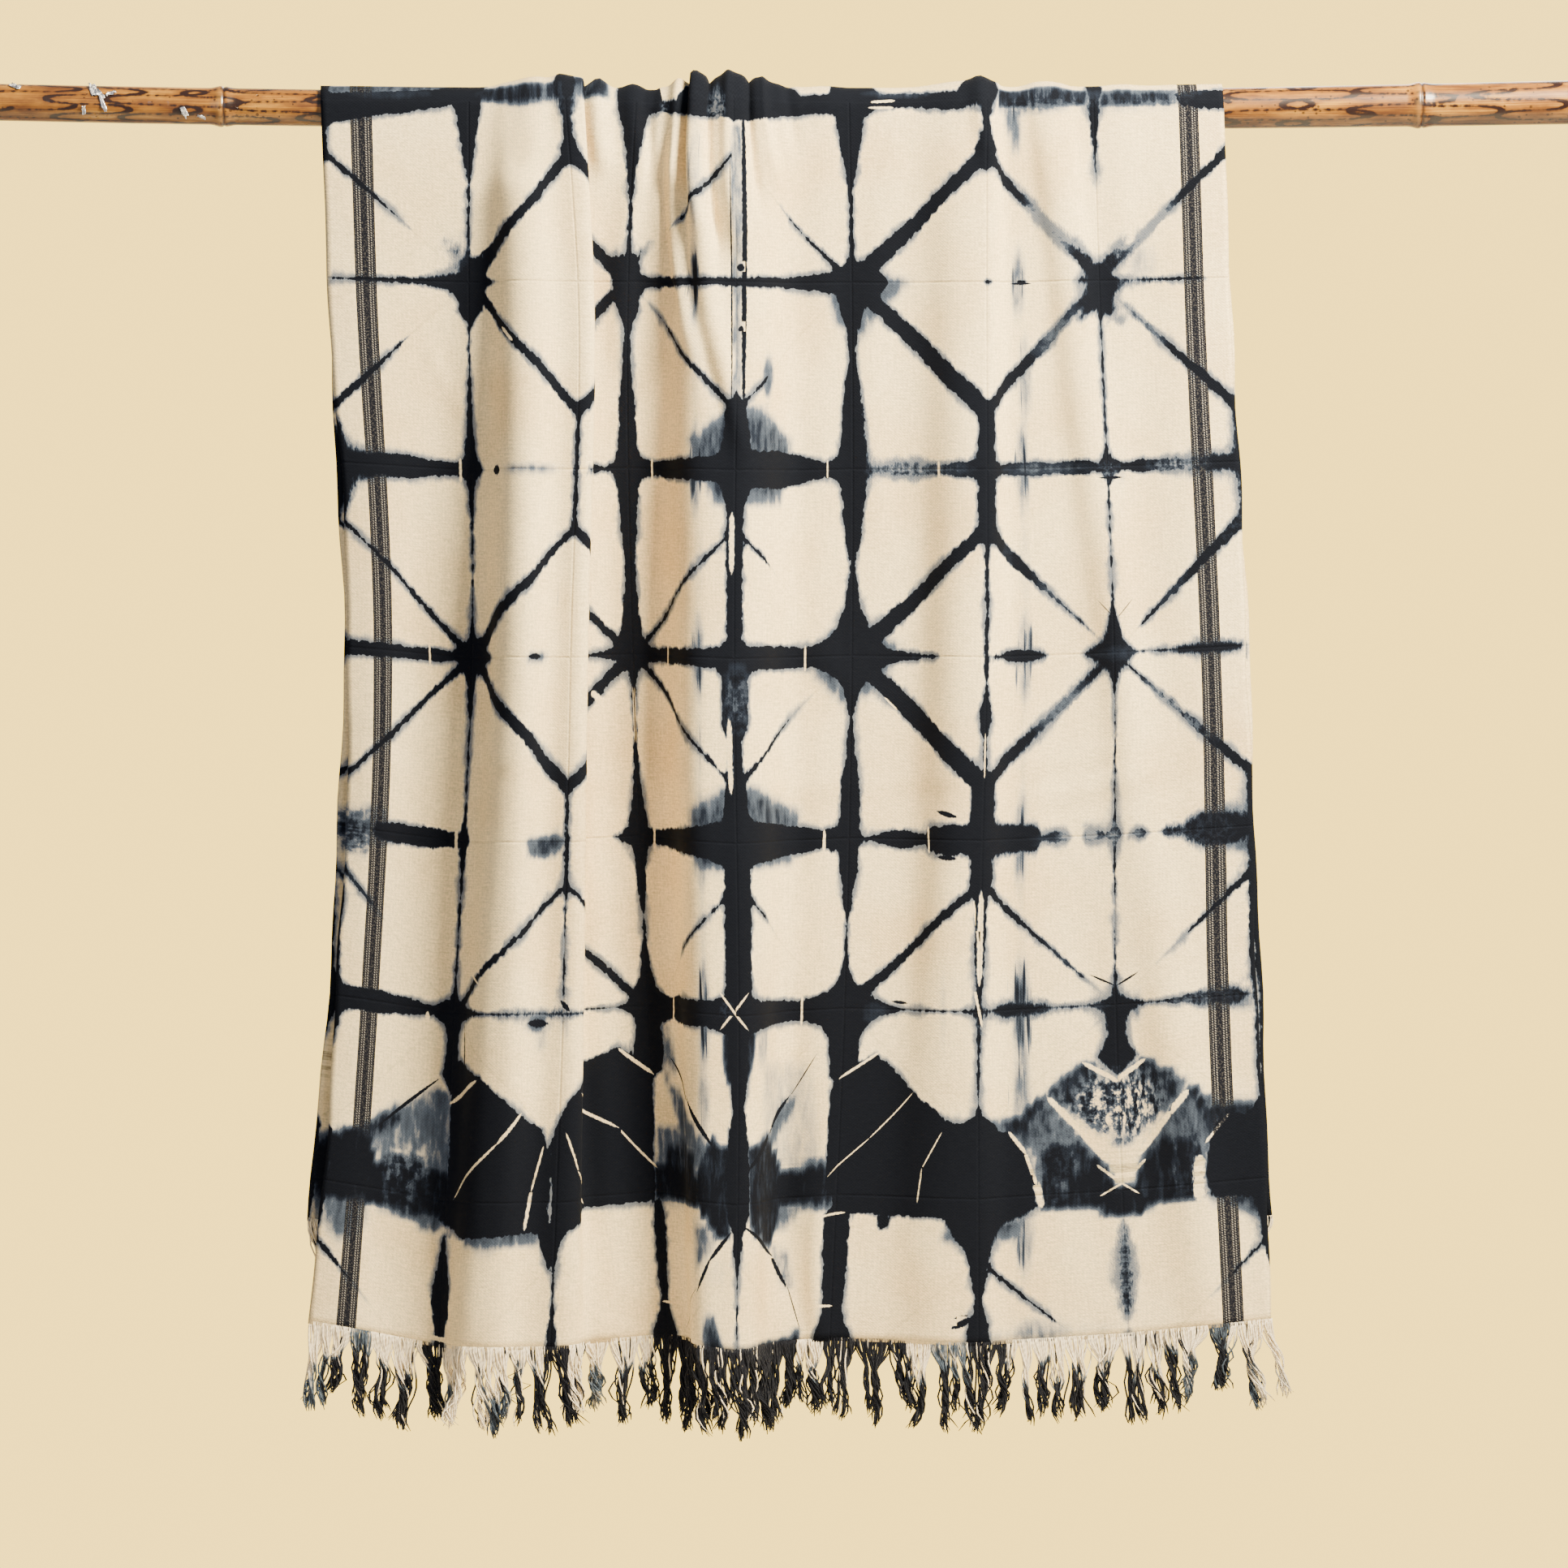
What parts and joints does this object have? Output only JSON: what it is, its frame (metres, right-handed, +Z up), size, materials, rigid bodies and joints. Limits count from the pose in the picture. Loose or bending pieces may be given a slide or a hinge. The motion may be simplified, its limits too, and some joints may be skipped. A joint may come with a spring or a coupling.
{
  "type": "shibori dyed cloth on a bamboo pole",
  "caption": "Long fringed cotton cloth with a folded resist-dyed lattice, hung over a level bamboo pole in soft vertical folds.",
  "frame": {"origin": "on the pole's axis at the middle of its length", "axes": "+X along the pole to the right seen from the front, -Y out of the front of the cloth, +Z up"},
  "size_m": [1.5, 0.1289, 1.2034],
  "materials": {
    "bamboo": "glossy scorched bamboo skin",
    "dyed_cotton": "hand-woven cotton, natural with near-black indigo resist dyeing",
    "fringe_thread": "loose cotton warp ends, dyed and undyed"
  },
  "bodies": {
    "root": {"pole": "bamboo", "cloth": "dyed_cotton", "fringe_front": "fringe_thread", "fringe_back": "fringe_thread"}
  },
  "joints": []
}
